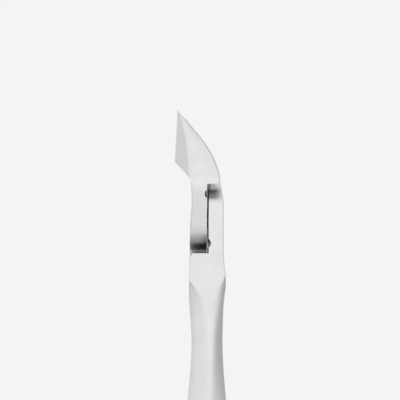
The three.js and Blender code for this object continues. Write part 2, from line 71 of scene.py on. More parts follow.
# The floor lies 3 mm under the handles, because one of them swings that much lower when the
# other one is held still and the nipper is closed.
FLOOR_Z = CAD_BOX[0][2] - 3 * MM


# ---------------------------------------------------------------------------------------
# Sizes and colours
# ---------------------------------------------------------------------------------------


def linear(code):
    """Turns an sRGB colour written as #rrggbb into linear red, green and blue."""
    parts = [int(code[i : i + 2], 16) / 255 for i in (1, 3, 5)]
    return tuple(v / 12.92 if v <= 0.04045 else ((v + 0.055) / 1.055) ** 2.4 for v in parts)


def length(name, description, mm):
    """A length property whose default is given in millimetres."""
    return FloatProperty(name=name, description=description, default=mm * MM, unit="LENGTH")


def tint(name, description, code):
    """A colour property whose default is an sRGB hex value."""
    return FloatVectorProperty(
        name=name, description=description, default=linear(code), size=3, subtype="COLOR"
    )


class JointSizes(bpy.types.PropertyGroup):
    """Sizes of the lap joint, which both levers and the screw share."""

    half_opening: FloatProperty(
        name="Half opening",
        description="Angle each lever is turned from closed at rest",
        default=math.radians(6.8),
        subtype="ANGLE",
    )
    depth: length("Depth", "Front to back over both laps at the pivot", 5.8)
    radius: length("Radius", "Reach of each lap's end, and half the joint's width", 5.5)
    lap_end_power: FloatProperty(
        name="Lap end power",
        description="Outline of a lap's end: 2 would be a circle, and more is squarer",
        default=2.5,
    )
    shoulder: length("Shoulder", "Height of the shoulder planes above and below the pivot", 6.8)
    lap_gap: length("Lap gap", "Gap between the lap faces outside the bearing land", 0.3)
    land_gap: length("Land gap", "Gap over the bearing land", 0.05)
    land_margin: length("Land margin", "Width of the relieved rim around the land", 0.8)
    neck_land: length("Neck land", "Width of the land where it reaches to the shoulders", 6.4)
    shoulder_gap: length("Shoulder gap", "Ends of that land to the other lever's shoulders", 0.3)
    hole_gap: length("Hole gap", "Clearance around the screw and the rivets", 0.05)


class JawSizes(bpy.types.PropertyGroup):
    """Sizes of the jaws above the shoulder."""

    length: length("Length", "Shoulder to tip", 12.4)
    blade: length("Blade", "Cutting edge from heel to tip", 9.16)
    heel_drop: length("Heel drop", "Height of the heel cut under the cutting edge", 2.3)
    edge_gap: length("Edge gap", "Middle plane to each cutting edge, closed", 0.02)
    heel_gap: length("Heel gap", "Middle plane to each jaw at its shoulder, closed", 0.35)


class HandleSizes(bpy.types.PropertyGroup):
    """Sizes of the handles below the shoulder."""

    length: length("Length", "Shoulder to the handle's end", 89.2)
    spread: length("Spread", "Widest distance of the centreline from the middle plane", 13.8)
    half_width: length("Half width", "Half the width where the handle leaves the joint", 2.75)
    end_rounding: length("End rounding", "Length over which the end rounds off", 3.2)


class SpringSizes(bpy.types.PropertyGroup):
    """Sizes of the leaf springs and their rivets."""

    foot_drop: length("Foot drop", "Pivot to the spring rivets", 37)
    crossing_drop: length("Crossing drop", "Pivot to where the leaves cross", 58)
    width: length("Width", "Width of a leaf at its foot", 3.6)
    thickness: length("Thickness", "Thickness of a leaf at its foot", 0.55)
    tongue: length("Tongue", "Width of the tongue", 1.2)
    window_gap: length("Window gap", "Each side of the tongue in the window", 0.3)
    seat_gap: length("Seat gap", "Between a leaf's foot and its handle", 0.3)
    rivet_radius: length("Rivet radius", "Shank of a rivet", 0.8)
    rivet_head: length("Rivet head", "Radius of a rivet's head", 1.45)
    rivet_depth: length("Rivet depth", "How far a rivet goes into its handle", 3.2)


class ScrewSizes(bpy.types.PropertyGroup):
    """Sizes of the pivot screw."""

    head: length("Head", "Radius of the head", 2.7)
    shank: length("Shank", "Radius of the shank in the front lap", 1.75)
    thread: length("Thread", "Radius of the threaded end in the back lap", 1.5)
    head_depth: length("Head depth", "Thickness of the head", 1.05)
    sink: length("Sink", "How far the head lies under the front face", 0.12)
    slot_width: length("Slot width", "Width of the driver slot", 0.7)
    slot_depth: length("Slot depth", "Depth of the driver slot", 0.5)


class Finishes(bpy.types.PropertyGroup):
    """Colours of the steels and of the studio."""

    satin: tint("Satin steel", "Satin stainless steel of the levers", "#d0d0d0")
    # The ground tone is darker than the satin as painted shade for the jaw's bevel.
    ground: tint("Ground steel", "Freshly ground bevels and hollows", "#c9c9c9")
    lap: tint("Lap steel", "Milled lap faces and shoulders", "#b4b4b5")
    spring: tint("Spring steel", "Tempered spring steel", "#c1c3c5")
    turned: tint("Turned steel", "Screw and rivets", "#c9c9ca")
    floor: tint("Floor", "Matt pale floor", "#f2f2f2")
    backdrop: tint("Backdrop", "Even pale background", "#f4f4f4")


class NipperSettings(bpy.types.PropertyGroup):
    """Everything a user would change, by part."""

    joint: PointerProperty(type=JointSizes)
    jaw: PointerProperty(type=JawSizes)
    handle: PointerProperty(type=HandleSizes)
    spring: PointerProperty(type=SpringSizes)
    screw: PointerProperty(type=ScrewSizes)
    finish: PointerProperty(type=Finishes)


# ---------------------------------------------------------------------------------------
# Curves and skins
# ---------------------------------------------------------------------------------------


def through(points, at):
    """Smooth curve through points, read at an array of places. Each stretch is a cubic whose
    end slopes are the harmonic mean of the slopes on either side, weighted by their lengths,
    or level where the slope changes sign, so that the curve never overshoots a point. Past
    the ends it stays at the end values."""
    x, y = np.array(sorted(points)).T
    step = np.diff(x)
    rise = np.diff(y) / step
    before = 2 * step[1:] + step[:-1]
    after = step[1:] + 2 * step[:-1]
    turns = rise[:-1] * rise[1:] <= 0
    safe = np.where(turns, 1.0, rise[:-1]), np.where(turns, 1.0, rise[1:])
    inner = np.where(turns, 0.0, (before + after) / (before / safe[0] + after / safe[1]))
    slope = np.concatenate([rise[:1], inner, rise[-1:]])
    at = np.clip(at, x[0], x[-1])
    i = np.clip(np.searchsorted(x, at, side="right") - 1, 0, len(step) - 1)
    t = (at - x[i]) / step[i]
    u = 1 - t
    ends = u * u * (1 + 2 * t) * y[i] + t * t * (3 - 2 * t) * y[i + 1]
    return ends + t * u * step[i] * (u * slope[i] - t * slope[i + 1])


def blend(a, b, t):
    """The value a share t of the way from a to b."""
    return a + (b - a) * t


def turn(points, side, angle):
    """Puts points of a lever's own plane, (s, y, z), into the row frame: s is mirrored for
    the back lever, and the whole is turned about the pivot axis Y by the lever's angle."""
    s, y, z = np.moveaxis(np.asarray(points, float), -1, 0)
    x, a = side * s, side * angle
    return np.stack([x * np.cos(a) + z * np.sin(a), y, z * np.cos(a) - x * np.sin(a)], axis=-1)


def unturn(points, side, angle):
    """The inverse of turn: row-frame points as (s, y, z) in the lever's own plane."""
    x, y, z = np.moveaxis(np.asarray(points, float), -1, 0)
    a = side * angle
    s = side * (x * np.cos(a) - z * np.sin(a))
    return np.stack([s, y, x * np.sin(a) + z * np.cos(a)], axis=-1)


def skin(name, rings):
    """Closed skin over a stack of rings with equal numbers of points. Quads join each ring to
    the next, and a fan to the mean point closes each end. The enclosed volume is the sum of
    the tetrahedra from the origin to every triangle; if it is negative, every face is
    turned round, so that all faces look out."""
    rings = np.asarray(rings)
    count, around = rings.shape[:2]
    points = np.concatenate([rings.reshape(-1, 3), rings[[0, -1]].mean(axis=1)])
    here = np.arange(around)
    after = np.roll(here, -1)
    base = np.arange(count - 1)[:, None] * around
    quads = np.stack([base + here, base + after, base + around + after, base + around + here], -1)
    quads = quads.reshape(-1, 4)
    last = (count - 1) * around
    low = np.stack([np.full(around, count * around), after, here], 1)
    high = np.stack([np.full(around, count * around + 1), last + here, last + after], 1)
    triangles = np.concatenate([quads[:, :3], quads[:, [0, 2, 3]], low, high])
    a, b, c = (points[triangles[:, k]] for k in range(3))
    if (a * np.cross(b, c)).sum() < 0:
        quads, low, high = quads[:, ::-1], low[:, ::-1], high[:, ::-1]
    mesh = bpy.data.meshes.new(name)
    mesh.from_pydata(points.tolist(), [], quads.tolist() + low.tolist() + high.tolist())
    obj = bpy.data.objects.new(name, mesh)
    bpy.context.collection.objects.link(obj)
    return obj


def lathe(name, profile, axis, centre, sides=96):
    """Surface of revolution: each (radius, height) of the profile becomes a ring of points
    radius times cosine and sine of an even angle, at that height along the axis."""
    radius, height = np.array(profile, float).T[:, :, None]
    angle = np.linspace(0, 2 * np.pi, sides, endpoint=False)[None, :]
    along = np.array(axis, float) / np.linalg.norm(axis)
    side = np.cross(along, (0, 0, 1))
    side /= np.linalg.norm(side)
    other = np.cross(along, side)
    rings = (
        np.array(centre, float)
        + radius[..., None] * (np.cos(angle)[..., None] * side + np.sin(angle)[..., None] * other)
        + height[..., None] * along
    )
    return skin(name, rings)


def prism(name, outline, side, angle, low, high):
    """Bar along s with a (y, z) outline: the outline's points repeated at s = low and
    s = high, then turned with the lever."""
    y, z = np.array(outline, float).T
    ends = [np.stack([np.full_like(y, s), y, z], -1) for s in (low, high)]
    return skin(name, turn(ends, side, angle))


def cut(obj, *cutters):
    """Takes the cutters away from obj, keeps the result as its mesh and deletes them."""
    for cutter in cutters:
        step = obj.modifiers.new("cut", "BOOLEAN")
        step.object = cutter
        step.operation = "DIFFERENCE"
        step.solver = "EXACT"
    solved = obj.evaluated_get(bpy.context.evaluated_depsgraph_get())
    mesh = bpy.data.meshes.new_from_object(solved)
    old = obj.data
    obj.modifiers.clear()
    obj.data = mesh
    mesh.name = obj.name
    bpy.data.meshes.remove(old)
    for cutter in cutters:
        shape = cutter.data
        bpy.data.objects.remove(cutter)
        bpy.data.meshes.remove(shape)
    return obj


def points_of(mesh):
    """All vertex positions of a mesh as one array."""
    flat = np.empty(len(mesh.vertices) * 3, np.float32)
    mesh.vertices.foreach_get("co", flat)
    return flat.reshape(-1, 3).astype(float)


def smooth(obj, degrees=32):
    """Smooth shading with a hard edge wherever two faces meet at more than the angle."""
    obj.data.shade_smooth()
    obj.data.set_sharp_from_angle(angle=math.radians(degrees))
    return obj


def set_grain(obj, values):
    """Stores where each point lies along and across the piece, in millimetres, as the
    attribute that the steel materials read their grain from."""
    attribute = obj.data.attributes.new("grain", "FLOAT_VECTOR", "POINT")
    attribute.data.foreach_set("vector", (values / MM).astype(np.float32).ravel())


# ---------------------------------------------------------------------------------------
# Shape of a lever
# ---------------------------------------------------------------------------------------


class LeverForm:
    """The form that both levers share, laid out closed in the lever's own plane: s across,
    positive towards the jaw, y along the pivot axis and z up. Outlines are curves of z whose
    places are shares of the jaw, the joint or the handle."""

    def __init__(self, settings):
        self.joint, self.jaw, self.handle = settings.joint, settings.jaw, settings.handle
        self.angle = self.joint.half_opening
        self.depth, self.radius = self.joint.depth, self.joint.radius
        self.shoulder = self.joint.shoulder
        self.tip = self.shoulder + self.jaw.length
        self.heel_top = self.tip - self.jaw.blade
        self.heel_bottom = self.heel_top - self.jaw.heel_drop
        self.end = -self.shoulder - self.handle.length
        self.lap_middle = -0.48 * self.depth
        self.edge_heel, self.edge_tip = -1.476 * self.depth, -1.395 * self.depth
        self.groove_height = 0.735 * self.shoulder

    def jaw_curve(self, points, z):
        """Curve whose places are shares of the jaw, from the shoulder to the tip."""
        return through([(self.shoulder + p * self.jaw.length, v) for p, v in points], z)

    def handle_curve(self, points, z):
        """Curve whose places are shares of the handle, from the shoulder to its end."""
        return through([(-self.shoulder - p * self.handle.length, v) for p, v in points], z)

    def body_curve(self, handle, joint, jaw, z):
        """Curve that runs over the handle, the joint and the jaw."""
        points = [(-self.shoulder - p * self.handle.length, v) for p, v in handle]
        points += [(p * self.shoulder, v) for p, v in joint]
        points += [(self.shoulder + p * self.jaw.length, v) for p, v in jaw]
        return through(points, z)

    def front(self, z):
        """Front face: depth times a curve of z."""
        handle = [(1, -1.052), (0.86, -1.14), (0.71, -1.24), (0.54, -1.284), (0.43, -1.26)]
        handle += [(0.35, -1.185), (0.287, -1.083), (0.213, -0.991), (0.171, -0.971)]
        handle += [(0.132, -1.0), (0.076, -1.052)]
        joint = [(-1, -1.033), (-0.44, -1.026), (0, -0.995), (0.44, -0.967), (1, -0.988)]
        jaw = [((self.heel_bottom - self.shoulder) / self.jaw.length, -1.01)]
        return self.depth * self.body_curve(handle, joint, jaw, z)

    def back(self, z):
        """Back face: depth times a curve of z, flat behind the pivot."""
        handle = [(1, -0.05), (0.86, 0.06), (0.71, 0.155), (0.54, 0.207), (0.43, 0.198)]
        handle += [(0.35, 0.15), (0.287, 0.064), (0.213, -0.017), (0.171, -0.034)]
        handle += [(0.11, -0.007), (0.083, 0.024), (0.058, 0.069), (0.036, 0.043)]
        joint = [(-1, 0), (0.3, 0), (0.66, -0.055), (1, -0.095)]
        jaw = [(0.12, -0.131), (0.25, -0.221), (0.395, -0.362), (0.532, -0.543)]
        jaw += [(0.645, -0.724), (0.75, -0.922), (0.863, -1.121), (0.944, -1.293), (1, -1.365)]
        return self.depth * self.body_curve(handle, joint, jaw, z)

    def edge(self, z):
        """Foremost line: the front face, then the straight heel cut, then the straight
        cutting edge."""
        heel = np.clip((z - self.heel_bottom) / self.jaw.heel_drop, 0, 1)
        blade = np.clip((z - self.heel_top) / self.jaw.blade, 0, 1)
        return blend(self.front(z), self.edge_heel, heel) + blade * (self.edge_tip - self.edge_heel)

    def ridge(self, z):
        """Depth of the crease between the ground bevel and the jaw's outer side."""
        points = [(0, -0.988), (0.077, -1.017), (0.207, -1.059), (0.31, -1.074)]
        points += [(0.535, -1.121), (0.758, -1.214), (0.867, -1.272), (1, -1.388)]
        return self.depth * self.jaw_curve(points, z)

    def ridge_s(self, z):
        """Distance of that crease from the middle plane."""
        points = [(0, 1), (0.077, 0.91), (0.207, 0.73), (0.31, 0.635), (0.535, 0.475)]
        points += [(0.758, 0.275), (0.867, 0.163), (0.944, 0.08), (1, 0.03)]
        return self.radius * self.jaw_curve(points, z)

    def outer_s(self, z):
        """Distance of the jaw's outer side from the middle plane."""
        points = [(0, 1), (0.077, 0.96), (0.207, 0.83), (0.31, 0.74), (0.42, 0.65)]
        points += [(0.535, 0.545), (0.645, 0.43), (0.758, 0.31), (0.867, 0.185)]
        points += [(0.944, 0.095), (1, 0.038)]
        return self.radius * self.jaw_curve(points, z)

    def hollow(self, z):
        """How far the jaw's inner side is ground hollow behind the edge."""
        points = [(0, 0), (0.1, 0.75), (0.26, 1.2), (0.42, 1.15), (0.58, 0.9)]
        points += [(0.74, 0.55), (0.863, 0.3), (1, 0.03)]
        return MM * self.jaw_curve(points, z)

    def inner_s(self, z):
        """Distance of the jaw's inner front corner from the middle plane."""
        points = [(self.heel_bottom, self.jaw.heel_gap), (self.heel_top, self.jaw.edge_gap)]
        return through(points, z)

    def centre(self, z):
        """Distance of the handle's centreline from the middle plane."""
        points = [(0, 3 * MM), (0.058, 3.3 * MM)]
        shares = [(0.148, 0.33), (0.26, 0.52), (0.372, 0.715), (0.484, 0.87), (0.596, 0.965)]
        shares += [(0.708, 1), (0.82, 0.98), (0.93, 0.915), (1, 0.855)]
        points += [(p, v * self.handle.spread) for p, v in shares]
        return self.handle_curve(points, z)

    def half_width(self, z):
        """Half the handle's width across the nipper."""
        points = [(0, 1), (0.148, 0.91), (0.26, 0.855), (0.6, 0.84), (0.82, 0.8), (1, 0.74)]
        return self.handle.half_width * self.handle_curve(points, z)

    def lap_end(self, z):
        """Outline of a lap's end, a little squarer than a circle: with p the end's power, the
        radius times the p-th root of one minus z over the radius to the power p."""
        power = self.joint.lap_end_power
        return self.radius * (1 - np.clip(abs(z) / self.radius, 0, 1) ** power) ** (1 / power)

    def joint_high(self, z):
        """Joint's edge on the jaw's side: straight above the pivot, then the lap's end, then
        straight in to the handle."""
        inner = self.handle.half_width - self.centre(-self.shoulder)
        drop = np.clip((-self.radius - z) / (self.shoulder - self.radius), 0, 1)
        end = self.lap_end(z)
        return np.where(z >= 0, self.radius, np.where(z > -self.radius, end, inner * drop))

    def joint_low(self, z):
        """Joint's edge on the handle's side, the same the other way up."""
        outer = self.centre(-self.shoulder) + self.handle.half_width
        rise = np.clip((z - self.radius) / (self.shoulder - self.radius), 0, 1)
        end = -self.lap_end(z)
        below = -blend(self.radius, outer, np.clip(-z / self.shoulder, 0, 1))
        return np.where(z <= 0, below, np.where(z < self.radius, end, self.jaw.heel_gap * rise))

    def corners(self, z):
        """The seven corners of the section at each z, as (s, y, rounding), anticlockwise from
        the low front one. Above the shoulder they follow the jaw: edge, land, ridge, outer
        side, outer back, inner back and hollow. Below it they follow the joint or the
        handle, whose low side has a flat that narrows downwards."""
        back = self.back(z)
        jaw = self.jaw_corners(z, back)
        body = self.body_corners(z, back)
        return np.where((z > self.shoulder)[:, None, None], jaw, body)

    def jaw_corners(self, z, back):
        """Corners of the jaw's section at each z."""
        front, ridge, inner, outer = self.edge(z), self.ridge(z), self.inner_s(z), self.outer_s(z)
        hollow = self.hollow(z)
        rise = np.clip((z - self.shoulder) / (0.15 * self.jaw.length), 0, 1)
        edge_land = MM * through([(self.heel_top, 0.07), (self.tip, 0.05)], z)
        edge_line = blend(self.edge_heel, self.edge_tip, (z - self.heel_top) / self.jaw.blade)
        cut_back = np.clip((front - edge_line) / (ridge - edge_line), 0, 0.96)
        bevel_start = blend(inner + edge_land, self.ridge_s(z), cut_back)
        back_share = self.jaw_curve([(0, 1), (0.15, 0.96), (0.35, 0.92), (1, 0.88)], z)
        ridge_round = MM * self.jaw_curve([(0, 0.35), (0.2, 0.1)], z)
        back_round = MM * self.jaw_curve([(0, 0.35), (0.2, 0.3)], z)
        sharp = np.full_like(z, 0.03 * MM)
        rows = [
            (inner, front, sharp),
            (bevel_start, front, sharp),
            (self.ridge_s(z), ridge, ridge_round),
            (outer, blend(ridge, back, 0.45), np.full_like(z, 2.5 * MM)),
            (outer * back_share, back, back_round),
            (inner + hollow + 0.5 * MM * (1 - rise), back, np.full_like(z, 0.25 * MM)),
            (inner + 0.75 * hollow, blend(back, front, 0.5 * rise), MM * (0.25 + 2.2 * rise)),
        ]
        return np.array(rows).transpose(2, 0, 1)

    def body_corners(self, z, back):
        """Corners of the joint's or the handle's section at each z."""
        front = self.front(z)
        in_joint = z > -self.shoulder
        low = np.where(in_joint, self.joint_low(z), -self.centre(z) - self.half_width(z))
        high = np.where(in_joint, self.joint_high(z), self.half_width(z) - self.centre(z))
        depth, width = back - front, high - low
        front_inset = [(0.056, 0), (0.063, 0.09), (0.0706, 0.165), (0.0785, 0.225)]
        front_inset += [(0.0863, 0.285), (0.1026, 0.37), (0.1267, 0.44), (0.16, 0.48)]
        front_inset += [(0.25, 0.46), (1, 0.4)]
        back_inset = [(0.043, 0), (0.055, 0.07), (0.063, 0.125), (0.0706, 0.15), (0.0863, 0.175)]
        back_inset += [(0.1267, 0.21), (0.16, 0.24), (0.2, 0.27), (0.3, 0.33), (1, 0.4)]
        front_flank = [(0.056, 0.09), (0.0863, 0.27), (0.1267, 0.42), (0.18, 0.5)]
        back_flank = [(0.043, 0.09), (0.0706, 0.2), (0.1267, 0.36), (0.18, 0.5)]
        near = np.minimum(0.5 * MM, 0.4 * width)
        flank_front = np.where(in_joint, near, self.handle_curve(front_flank, z) * width)
        flank_back = np.where(in_joint, near, self.handle_curve(back_flank, z) * width)
        flat = [(0.25, 3.2), (0.15, 2.6), (0.1, 1.5), (0.075, 0.7), (0.05, 0.3)]
        flat_round = MM * self.handle_curve(flat, z)
        flank_round = MM * self.handle_curve([(0.12, 3), (0.05, 0.2)], z)
        inner_round = MM * self.handle_curve([(0.16, 2.6), (0.06, 1.2), (0, 0.3)], z)
        rows = [
            (low, front + self.handle_curve(front_inset, z) * depth, flat_round),
            (low + flank_front, front, flank_round),
            (high, front, inner_round),
            (high, (front + back) / 2, np.full_like(z, 3 * MM)),
            (high, back, inner_round),
            (low + flank_back, back, flank_round),
            (low, back - self.handle_curve(back_inset, z) * depth, flat_round),
        ]
        return np.array(rows).transpose(2, 0, 1)

    def rings(self, z, round_steps=8, side_steps=5):
        """Rounds the seven corners of each section. A corner C between its neighbours becomes
        the parabola C + (1-t) squared times a step back along the side before, plus t squared
        times a step along the side after, and straight points fill each side between two
        such parabolas. Within the end's rounding the ring shrinks towards its middle by the
        root of one minus the square of the share left."""
        corners = self.corners(z)
        c, rounding = corners[..., :2], corners[..., 2:]
        to_before = np.roll(c, 1, axis=1) - c
        to_after = np.roll(c, -1, axis=1) - c
        before = np.linalg.norm(to_before, axis=-1, keepdims=True)
        after = np.linalg.norm(to_after, axis=-1, keepdims=True)
        step_back = to_before * np.minimum(rounding, 0.46 * before) / before
        step_on = to_after * np.minimum(rounding, 0.46 * after) / after
        t = np.linspace(0, 1, round_steps + 1)[:, None]
        curve = c[:, :, None] + (1 - t) ** 2 * step_back[:, :, None] + t**2 * step_on[:, :, None]
        start = curve[:, :, -1]
        finish = np.roll(curve[:, :, 0], -1, axis=1)
        share = (np.arange(1, side_steps + 1) / (side_steps + 1))[:, None]
        straight = blend(start[:, :, None], finish[:, :, None], share)
        loop = np.concatenate([curve, straight], axis=2).reshape(len(z), -1, 2)
        left = 1 - np.clip((z - self.end) / self.handle.end_rounding, 0, 1)
        shrink = np.sqrt(1 - left**2)[:, None, None]
        middle = np.stack([-self.centre(z), (self.front(z) + self.back(z)) / 2], -1)[:, None]
        loop = np.where(left[:, None, None] > 0, blend(middle, loop, shrink), loop)
        level = np.broadcast_to(z[:, None, None], loop.shape[:2] + (1,))
        return np.concatenate([loop, level], axis=2)

    def levels(self):
        """Heights of the sections: close together where the outline turns fast, and spaced by
        the sine of an even angle where a lap's end comes level."""
        quarter = np.sin(np.linspace(0, np.pi / 2, 48))[1:]
        flare = -self.shoulder - 0.2 * self.handle.length
        end = self.end + self.handle.end_rounding * (1 - np.cos(np.linspace(0.06, np.pi / 2, 22)))
        parts = [
            end,
            np.linspace(end[-1], flare, 150)[1:],
            np.linspace(flare, -self.shoulder, 90)[1:],
            -self.radius * quarter[::-1],
            [0.0],
            self.radius * quarter,
            np.linspace(self.shoulder, self.heel_bottom, 8),
            np.linspace(self.heel_bottom, self.heel_top, 22)[1:],
            np.linspace(self.heel_top, self.tip, 90)[1:],
        ]
        return np.concatenate(parts)


# ---------------------------------------------------------------------------------------
# Materials
# ---------------------------------------------------------------------------------------


def add(tree, kind, inputs=(), out=None, **settings):
    """Adds a node of a kind, named without its ShaderNode prefix, with its settings. Inputs
    come by name, or in the node's own order; another node's output is linked, and anything
    else is the input's value. Returns the named output, or else the first one in use."""
    node = tree.nodes.new("ShaderNode" + kind)
    for key, value in settings.items():
        setattr(node, key, value)
    for key, value in inputs.items() if isinstance(inputs, dict) else enumerate(inputs):
        if isinstance(value, bpy.types.NodeSocket):
            tree.links.new(value, node.inputs[key])
        else:
            node.inputs[key].default_value = value
    return node.outputs[out] if out else next((o for o in node.outputs if o.enabled), None)


def blank_tree(owner):
    """The node tree of a material or a world, emptied."""
    owner.use_nodes = True
    owner.node_tree.nodes.clear()
    return owner.node_tree


def rgba(colour, share=1.0):
    """A colour with alpha, its brightness multiplied by share."""
    return (*(min(1.0, c * share) for c in colour), 1.0)


def steel(name, colour, grain_mm, run_mm, rough, relief_um, crevice_shade=0.0, shade_free_openness=1.0, rings=None):
    """A metal with a directional finish.

    The grain is noise stretched along the piece: grain_mm wide and run_mm long. It lightens
    and darkens the metal a little, spreads its roughness and stands up by relief_um. Broad
    noise stands for handling marks. Edges, found by comparing the face's direction with the
    direction rounded over edge_mm, are worn smoother and painted brighter: partly wear, partly
    a painted highlight along them. crevice_shade is how much darker painted shade makes the
    metal inside crevices, found by ambient occlusion, and shade_free_openness is how open a
    place must be to have none. With rings, the grain runs in circles about that axis, as a
    lathe leaves it."""
    mark_mm, edge_mm, crevice_mm = 5.0, 0.1, 2.2
    material = bpy.data.materials.new(name)
    tree = blank_tree(material)
    if rings is None:
        place = add(tree, "Attribute", out="Vector", attribute_name="grain")
    else:
        place = ring_place(tree, *rings)
    scale = (1 / grain_mm, 1 / grain_mm, 1 / run_mm)
    stretched = add(tree, "Mapping", {"Vector": place, "Scale": scale})
    fine = {"Vector": stretched, "Scale": 1.0, "Detail": 3.0, "Roughness": 0.6}
    grain = add(tree, "TexNoise", fine, out="Fac")
    broad = {"Vector": place, "Scale": 1 / mark_mm, "Detail": 3.0, "Roughness": 0.55}
    marks = add(tree, "TexNoise", broad, out="Fac")
    rounded = add(tree, "Bevel", {"Radius": edge_mm * MM}, samples=6)
    face = add(tree, "NewGeometry", out="Normal")
    turned = add(tree, "VectorMath", (rounded, face), operation="DOT_PRODUCT")
    # Map ranges take the value, the range it is read from and the range it is given.
    # Edges are worn smoother, and their colour is brightened: partly wear, partly a painted
    # highlight.
    edge_wear_and_highlight = add(tree, "MapRange", (turned, 0.995, 0.95, 0.0, 1.0))
    handled = add(tree, "MapRange", (marks, 0.35, 0.7, 0.0, 0.1))
    spread = add(tree, "MapRange", (grain, 0.3, 0.7, rough - 0.04, rough + 0.05))
    # Each layer is where it lies and how bright it is beside the metal's own colour.
    layers = [(grain, 1.045), (handled, 0.8), (edge_wear_and_highlight, 1.22)]
    # Painted shade: where ambient occlusion finds a crevice, the colour is mixed towards near
    # black.
    if crevice_shade:
        reach = {"Distance": crevice_mm * MM}
        open_share = add(tree, "AmbientOcclusion", reach, out="AO", samples=8)
        crevice = add(tree, "MapRange", (open_share, 0.15, shade_free_openness, crevice_shade, 0.0))
        layers.append((crevice, 0.04))
    tone = rgba(colour, 0.955)
    for share, bright in layers:
        mix = {"Factor": share, "A": tone, "B": rgba(colour, bright)}
        tone = add(tree, "Mix", mix, data_type="RGBA")
    marked = add(tree, "Math", (handled, spread), operation="ADD")
    polished = add(tree, "Math", (edge_wear_and_highlight, -0.08, marked), operation="MULTIPLY_ADD")
    relief = {"Strength": 0.6, "Distance": relief_um * MM * MM, "Height": grain, "Normal": rounded}
    bump = add(tree, "Bump", relief)
    look = {"Metallic": 1.0, "Base Color": tone, "Roughness": polished, "Normal": bump}
    shader = add(tree, "BsdfPrincipled", look)
    add(tree, "OutputMaterial", {"Surface": shader})
    return material


def ring_place(tree, axis, centre):
    """Millimetre coordinates for a turned piece, from its own object coordinates: distance
    from the axis, then the height along it. The third part stays nought."""
    local = add(tree, "TexCoord", out="Object")
    moved = add(tree, "VectorMath", (local, centre), operation="SUBTRACT")
    along = add(tree, "VectorMath", (moved, axis), operation="DOT_PRODUCT")
    lift = add(tree, "VectorMath", {0: axis, "Scale": along}, operation="SCALE")
    out = add(tree, "VectorMath", (moved, lift), operation="SUBTRACT")
    radius = add(tree, "VectorMath", (out,), operation="LENGTH")
    joined = add(tree, "CombineXYZ", (radius, along, 0.0))
    return add(tree, "VectorMath", {0: joined, "Scale": 1 / MM}, operation="SCALE")


def satin_ground_stainless(finish):
    """Forged martensitic stainless steel, fine-ground and satin brushed by hand along the
    lever: a soft, wide sheen with hardly any visible line. The real lines are 0.05 mm wide
    and are drawn five times coarser, so that they can be seen."""
    return steel("satin_brushed_stainless_steel", finish.satin, 0.25, 22.0, 0.3, 1.6)


def bevel_ground_stainless(finish):
    """The same steel where the wheel has ground it last, on the bevels and in the hollows:
    straighter, plainer lines and a tighter sheen, and a tone darker than the satin's, which is
    painted shade for the bevel. The real lines are 0.1 mm wide and are drawn four times
    coarser, so that they can be seen."""
    return steel("wheel_ground_stainless_steel", finish.ground, 0.4, 30.0, 0.24, 3.5)


def lap_milled_stainless(finish):
    """The same steel where it was milled for the joint: coarser, darker lines, with painted
    shade in the crevices."""
    name = "milled_stainless_steel_with_painted_shade"
    # Painted shade darkens its crevices.
    return steel(name, finish.lap, 0.2, 10.0, 0.36, 2.5, crevice_shade=0.97, shade_free_openness=0.95)


def satin_stainless_with_painted_shade(finish):
    """The satin finish on the front lap's end and on the chamfer under it, darkened there by
    painted shade in the joint's crevices."""
    name = "satin_stainless_steel_with_painted_shade"
    # Painted shade darkens it wherever ambient occlusion finds it less than fully open.
    return steel(name, finish.satin, 0.25, 22.0, 0.3, 1.6, crevice_shade=0.96)


def rolled_spring_steel(finish):
    """Cold-rolled, tempered strip: smooth, a little cooler in tone, with a fine rolled line
    along its length."""
    return steel("rolled_spring_steel", finish.spring, 0.1, 16.0, 0.2, 0.8)


def turned_stainless(name, finish, axis, centre):
    """Free-cutting stainless steel faced on a lathe: fine rings about its own axis."""
    return steel(name, finish.turned, 0.12, 4.0, 0.24, 1.6, rings=(axis, centre))


# ---------------------------------------------------------------------------------------
# Pieces
# ---------------------------------------------------------------------------------------


def lap_cutter(form, is_front):
    """Bar along s between the shoulder planes, on the side of the lap face that is cut away,
    with a slope for the chamfer on the corner of the jaw or handle, and two rods for the
    relief groove beside the shoulder, which stop at the land's width."""
    which, side, towards = ("front", 1, 1) if is_front else ("back", -1, -1)
    face = form.lap_middle - towards * form.joint.lap_gap / 2
    far, height = 20 * MM, towards * form.shoulder
    if is_front:
        depth, rise, corner = 0.6 * MM, 0.6 * MM, float(form.back(np.array([height]))[0])
    else:
        depth, rise, corner = -0.5 * MM, -1.1 * MM, float(form.front(np.array([height]))[0])
    outline = [
        (face, -height),
        (towards * far, -height),
        (towards * far, height + 2.5 * rise),
        (corner + 1.5 * depth, height + 2.5 * rise),
        (corner - depth, height),
        (face, height),
    ]
    bar = prism(f"{which}_lap_cutter", outline, side, form.angle, -far, far)
    radius, depth = 0.95 * MM, 0.4 * MM
    centre = face + towards * (radius - depth), towards * form.groove_height
    angle = np.linspace(0, 2 * np.pi, 64, endpoint=False)
    circle = np.stack([centre[0] + radius * np.cos(angle), centre[1] + radius * np.sin(angle)], -1)
    edge = form.joint.neck_land / 2
    rods = [
        prism(f"{which}_groove_cutter", circle, side, form.angle, *sorted((way * edge, way * far)))
        for way in (-1, 1)
    ]
    return bar, rods


